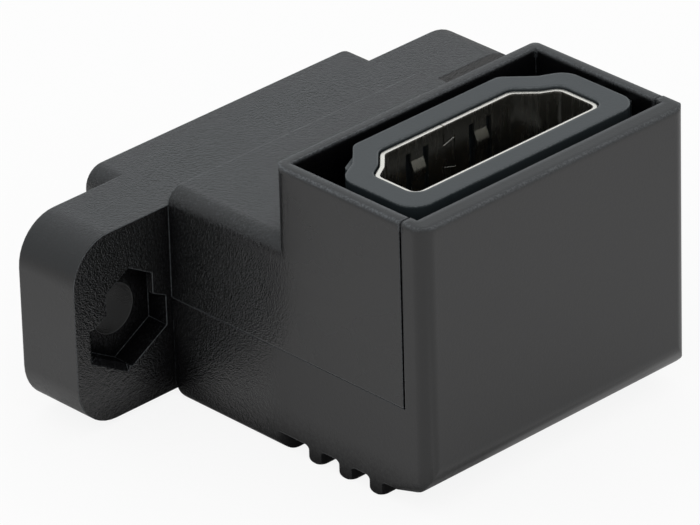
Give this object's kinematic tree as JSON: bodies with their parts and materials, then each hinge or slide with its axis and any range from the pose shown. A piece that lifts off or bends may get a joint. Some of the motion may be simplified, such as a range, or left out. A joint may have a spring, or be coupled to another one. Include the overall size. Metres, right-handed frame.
{
  "type": "right-angle hdmi adapter",
  "caption": "Panel-mount right-angle adapter: a socket in an open box looks up, and a second socket looks out through a flanged neck with two screw ears and nut pockets.",
  "frame": {"origin": "midway between the two screw holes, on the face of the flange that meets the panel", "axes": "+Y out through the panel along the screw holes, +Z the way the upward socket faces, X along the flange"},
  "size_m": [0.035, 0.0268, 0.0178],
  "materials": {
    "housing": "spark-eroded grain",
    "cover": "fine satin",
    "collar": "satin",
    "board": "solder mask",
    "shell": "plated sheet steel",
    "insulator": "moulded",
    "contact": "gold plated"
  },
  "bodies": {
    "root": {"upper_housing": "housing", "lower_cover": "cover", "socket_collar": "collar", "circuit_board": "board", "top_shell": "shell", "top_insulator": "insulator", "panel_shell": "shell", "panel_insulator": "insulator", "top_contact_1": "contact", "top_contact_2": "contact", "top_contact_3": "contact", "top_contact_4": "contact", "top_contact_5": "contact", "top_contact_6": "contact", "top_contact_7": "contact", "top_contact_8": "contact", "top_contact_9": "contact", "top_contact_10": "contact", "top_contact_11": "contact", "top_contact_12": "contact", "top_contact_13": "contact", "top_contact_14": "contact", "top_contact_15": "contact", "top_contact_16": "contact", "top_contact_17": "contact", "top_contact_18": "contact", "top_contact_19": "contact", "panel_contact_1": "contact", "panel_contact_2": "contact", "panel_contact_3": "contact", "panel_contact_4": "contact", "panel_contact_5": "contact", "panel_contact_6": "contact", "panel_contact_7": "contact", "panel_contact_8": "contact", "panel_contact_9": "contact", "panel_contact_10": "contact", "panel_contact_11": "contact", "panel_contact_12": "contact", "panel_contact_13": "contact", "panel_contact_14": "contact", "panel_contact_15": "contact", "panel_contact_16": "contact", "panel_contact_17": "contact", "panel_contact_18": "contact", "panel_contact_19": "contact"}
  },
  "joints": []
}
